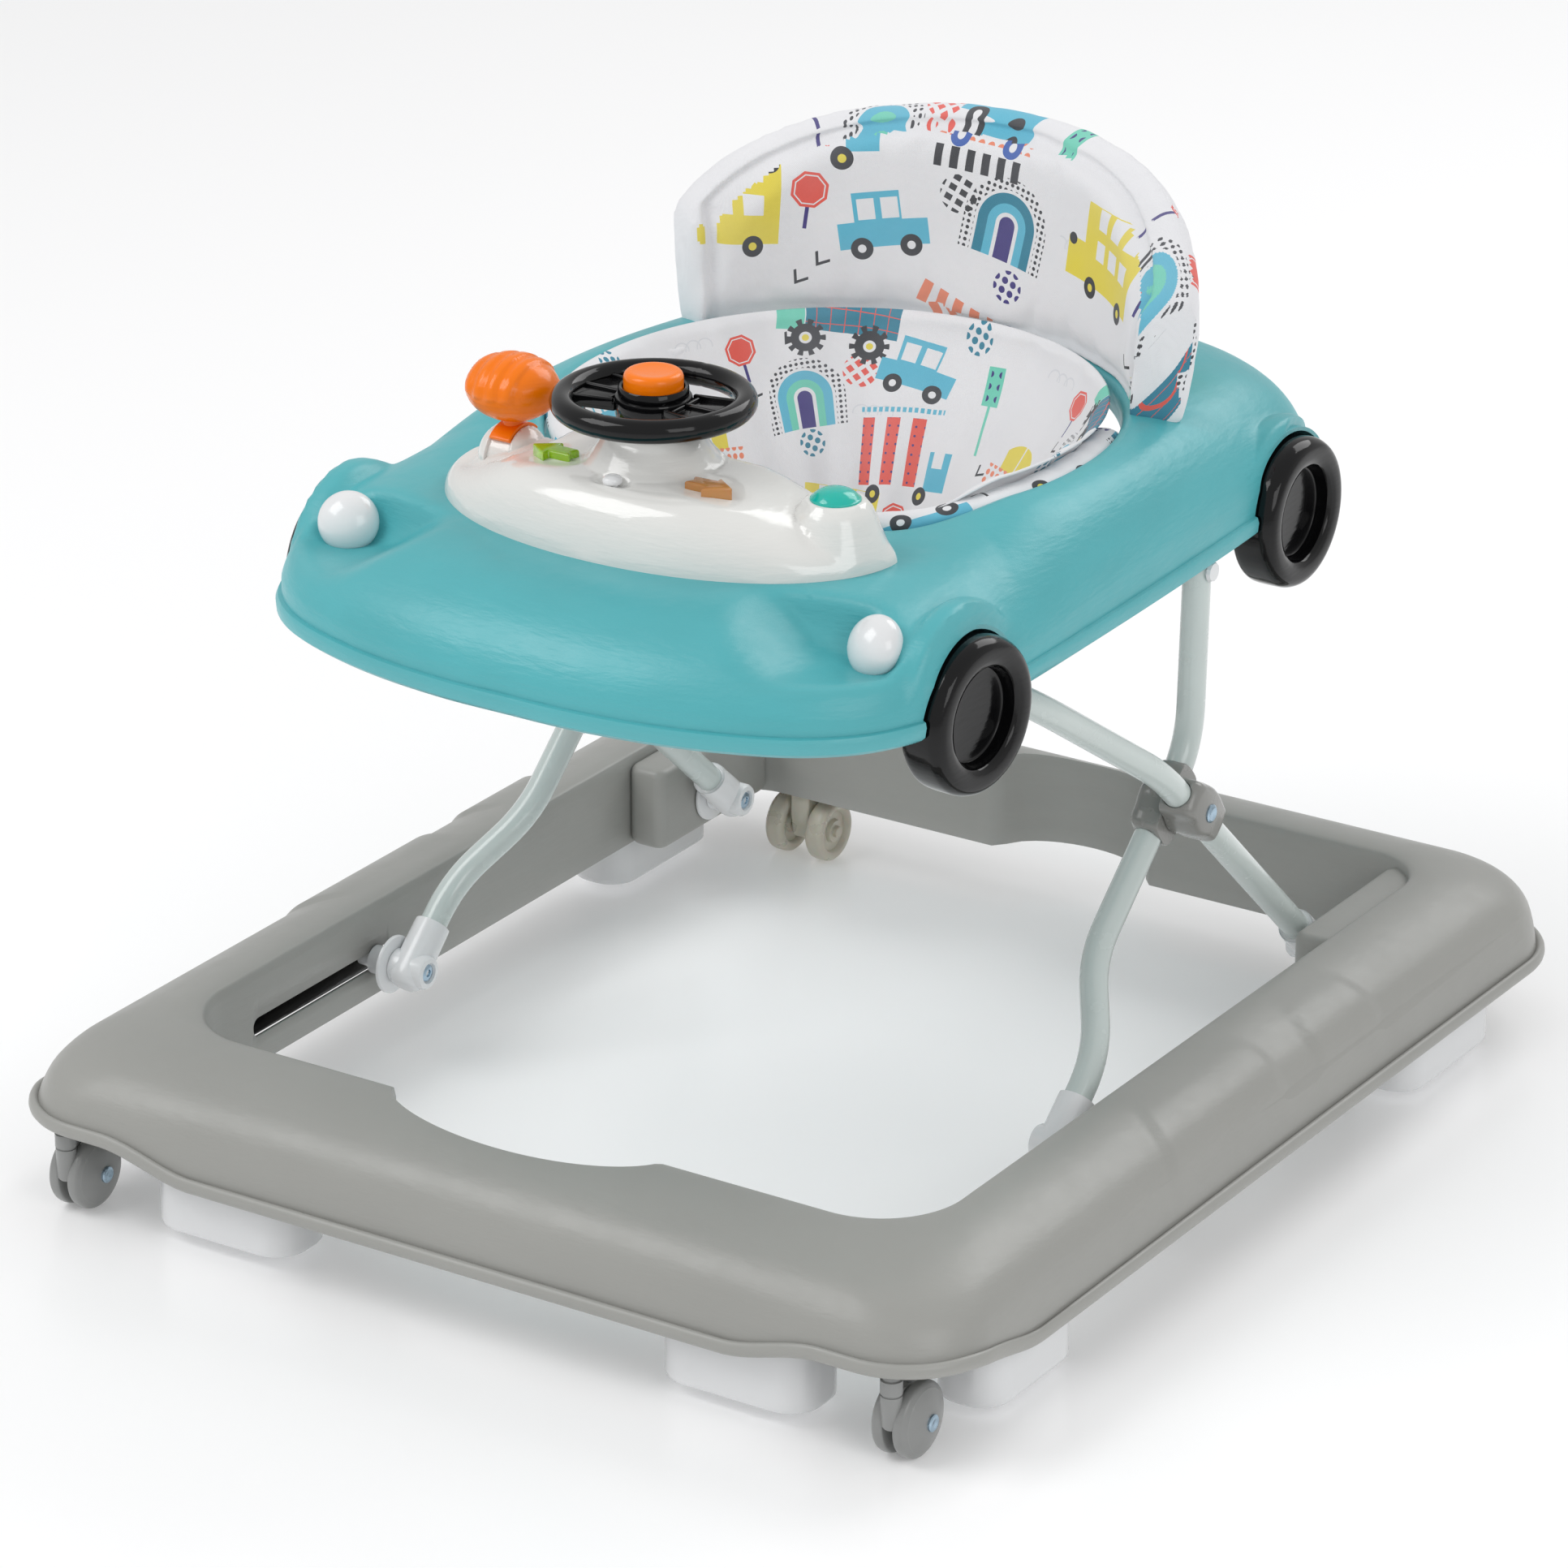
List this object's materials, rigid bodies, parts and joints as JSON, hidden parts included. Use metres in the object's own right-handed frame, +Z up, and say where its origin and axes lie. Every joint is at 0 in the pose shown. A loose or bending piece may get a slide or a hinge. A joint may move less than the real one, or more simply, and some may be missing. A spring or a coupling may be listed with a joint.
{
  "type": "baby walker",
  "caption": "Folding baby walker: moulded base on castors, scissor legs, and a car-shaped tray with a toy console and a padded fabric seat.",
  "frame": {"origin": "on the floor, at the centre of the base", "axes": "+Z up, -Y to the front (the toy console's end), +X to the side that is on the right seen from the front"},
  "size_m": [0.61, 0.715, 0.531],
  "materials": {
    "base_plastic": "fine satin moulding, warm grey",
    "castor_plastic": "satin moulding, grey",
    "clamp_plastic": "satin moulding, darker grey",
    "white_plastic": "glossy white moulding",
    "milky_nylon": "milky, slightly translucent nylon",
    "painted_tube": "gloss powder paint on steel tube, pale grey green",
    "rivet_steel": "blued zinc",
    "tray_plastic": "satin moulding, teal",
    "black_plastic": "gloss black moulding",
    "console_plastic": "gloss off-white moulding",
    "orange_plastic": "gloss orange moulding",
    "green_clear": "translucent yellow green",
    "amber_clear": "translucent amber",
    "teal_clear": "translucent turquoise",
    "print_fabric": "white polyester cloth with a colourful print",
    "board_plastic": "flat sheet, dark grey"
  },
  "bodies": {
    "base": {"base_shell": "base_plastic", "foot_front_left": "white_plastic", "foot_front_right": "white_plastic", "foot_side_front_left": "white_plastic", "foot_side_front_right": "white_plastic", "foot_side_rear_left": "white_plastic", "foot_side_rear_right": "white_plastic", "rear_bracket_left": "milky_nylon", "rear_bracket_right": "milky_nylon", "pivot_pin_left": "white_plastic", "pivot_pin_right": "white_plastic"},
    "leg_front": {"leg_frame_front": "painted_tube", "plug_pivot_left": "white_plastic", "plug_pivot_right": "white_plastic", "clamp_outer_left": "clamp_plastic", "clamp_outer_right": "clamp_plastic"},
    "leg_rear": {"leg_rear_left": "painted_tube", "leg_rear_right": "painted_tube", "plug_slider_left": "white_plastic", "plug_slider_right": "white_plastic", "slider_pin_left": "white_plastic", "slider_pin_right": "white_plastic", "clamp_inner_left": "clamp_plastic", "clamp_inner_right": "clamp_plastic", "clamp_rivet_left": "rivet_steel", "clamp_rivet_right": "rivet_steel"},
    "tray": {"tray_shell": "tray_plastic", "lamp_left": "white_plastic", "lamp_right": "white_plastic", "car_wheel_front_left": "black_plastic", "car_wheel_rear_left": "black_plastic", "car_wheel_front_right": "black_plastic", "car_wheel_rear_right": "black_plastic", "height_adjuster": "white_plastic", "tray_bracket_left": "white_plastic", "tray_bracket_right": "white_plastic", "console_shell": "console_plastic", "seat_cushion": "print_fabric", "seat_board": "board_plastic", "seat_roll": "print_fabric", "seat_sling": "print_fabric"},
    "steering": {"steering_wheel": "black_plastic"},
    "horn": {"horn_button": "orange_plastic"},
    "lever": {"shift_lever": "orange_plastic"},
    "arrow_left": {"arrow_button_left": "green_clear"},
    "arrow_right": {"arrow_button_right": "amber_clear"},
    "dome": {"dome_button": "teal_clear"},
    "switch": {"slide_switch": "white_plastic"},
    "castor_left": {"castor_fork_left": "castor_plastic"},
    "castor_wheels_left": {"castor_wheel_inner_left": "castor_plastic", "castor_wheel_outer_left": "castor_plastic", "castor_axle_left": "rivet_steel"},
    "rear_wheel_inner_left": {"rear_wheel_inner_left": "milky_nylon"},
    "rear_wheel_outer_left": {"rear_wheel_outer_left": "milky_nylon"},
    "castor_right": {"castor_fork_right": "castor_plastic"},
    "castor_wheels_right": {"castor_wheel_inner_right": "castor_plastic", "castor_wheel_outer_right": "castor_plastic", "castor_axle_right": "rivet_steel"},
    "rear_wheel_inner_right": {"rear_wheel_inner_right": "milky_nylon"},
    "rear_wheel_outer_right": {"rear_wheel_outer_right": "milky_nylon"}
  },
  "joints": [
    {"name": "fold", "type": "hinge", "parent": "base", "child": "leg_front", "pos_m": [0, 0.222, 0.065], "axis": [1, 0, 0], "range_deg": [0, 35]},
    {"name": "leg_cross", "type": "hinge", "parent": "leg_front", "child": "leg_rear", "pos_m": [0, 0.0665, 0.2055], "axis": [1, 0, 0], "range_deg": [-70, 0]},
    {"name": "tray_level", "type": "hinge", "parent": "leg_rear", "child": "tray", "pos_m": [0, 0.098, 0.333], "axis": [1, 0, 0], "range_deg": [0, 35]},
    {"name": "steer", "type": "hinge", "parent": "tray", "child": "steering", "pos_m": [0, -0.157, 0.47], "axis": [0, 0, 1], "range_deg": [-40, 40]},
    {"name": "horn_press", "type": "slide", "parent": "steering", "child": "horn", "axis": [0, 0, -1], "range_m": [0, 0.003], "stiffness_N_per_m": 500, "springref_m": -0.001},
    {"name": "shift", "type": "hinge", "parent": "tray", "child": "lever", "pos_m": [-0.097, -0.147, 0.417], "axis": [1, 0, 0], "range_deg": [-15, 15]},
    {"name": "arrow_left_press", "type": "slide", "parent": "tray", "child": "arrow_left", "axis": [0, 0, -1], "range_m": [0, 0.002], "stiffness_N_per_m": 400, "springref_m": -0.001},
    {"name": "arrow_right_press", "type": "slide", "parent": "tray", "child": "arrow_right", "axis": [0, 0, -1], "range_m": [0, 0.002], "stiffness_N_per_m": 400, "springref_m": -0.001},
    {"name": "dome_press", "type": "slide", "parent": "tray", "child": "dome", "axis": [0, 0, -1], "range_m": [0, 0.003], "stiffness_N_per_m": 400, "springref_m": -0.001},
    {"name": "switch_slide", "type": "slide", "parent": "tray", "child": "switch", "axis": [1, 0, 0], "range_m": [-0.005, 0.005]},
    {"name": "castor_swivel_left", "type": "hinge", "parent": "base", "child": "castor_left", "pos_m": [-0.266, -0.341, 0.05], "axis": [0, 0, 1], "continuous": true},
    {"name": "castor_spin_left", "type": "hinge", "parent": "castor_left", "child": "castor_wheels_left", "pos_m": [-0.266, -0.325, 0.021], "axis": [1, 0, 0], "continuous": true},
    {"name": "rear_spin_inner_left", "type": "hinge", "parent": "base", "child": "rear_wheel_inner_left", "pos_m": [-0.18035, 0.303, 0.019], "axis": [1, 0, 0], "continuous": true},
    {"name": "rear_spin_outer_left", "type": "hinge", "parent": "base", "child": "rear_wheel_outer_left", "pos_m": [-0.20905, 0.303, 0.019], "axis": [1, 0, 0], "continuous": true},
    {"name": "castor_swivel_right", "type": "hinge", "parent": "base", "child": "castor_right", "pos_m": [0.266, -0.341, 0.05], "axis": [0, 0, 1], "continuous": true},
    {"name": "castor_spin_right", "type": "hinge", "parent": "castor_right", "child": "castor_wheels_right", "pos_m": [0.266, -0.325, 0.021], "axis": [1, 0, 0], "continuous": true},
    {"name": "rear_spin_inner_right", "type": "hinge", "parent": "base", "child": "rear_wheel_inner_right", "pos_m": [0.18035, 0.303, 0.019], "axis": [1, 0, 0], "continuous": true},
    {"name": "rear_spin_outer_right", "type": "hinge", "parent": "base", "child": "rear_wheel_outer_right", "pos_m": [0.20905, 0.303, 0.019], "axis": [1, 0, 0], "continuous": true}
  ],
  "couplings": [
    {"joint": "leg_cross", "follows": "fold", "ratio": -2},
    {"joint": "tray_level", "follows": "fold", "ratio": 1}
  ]
}
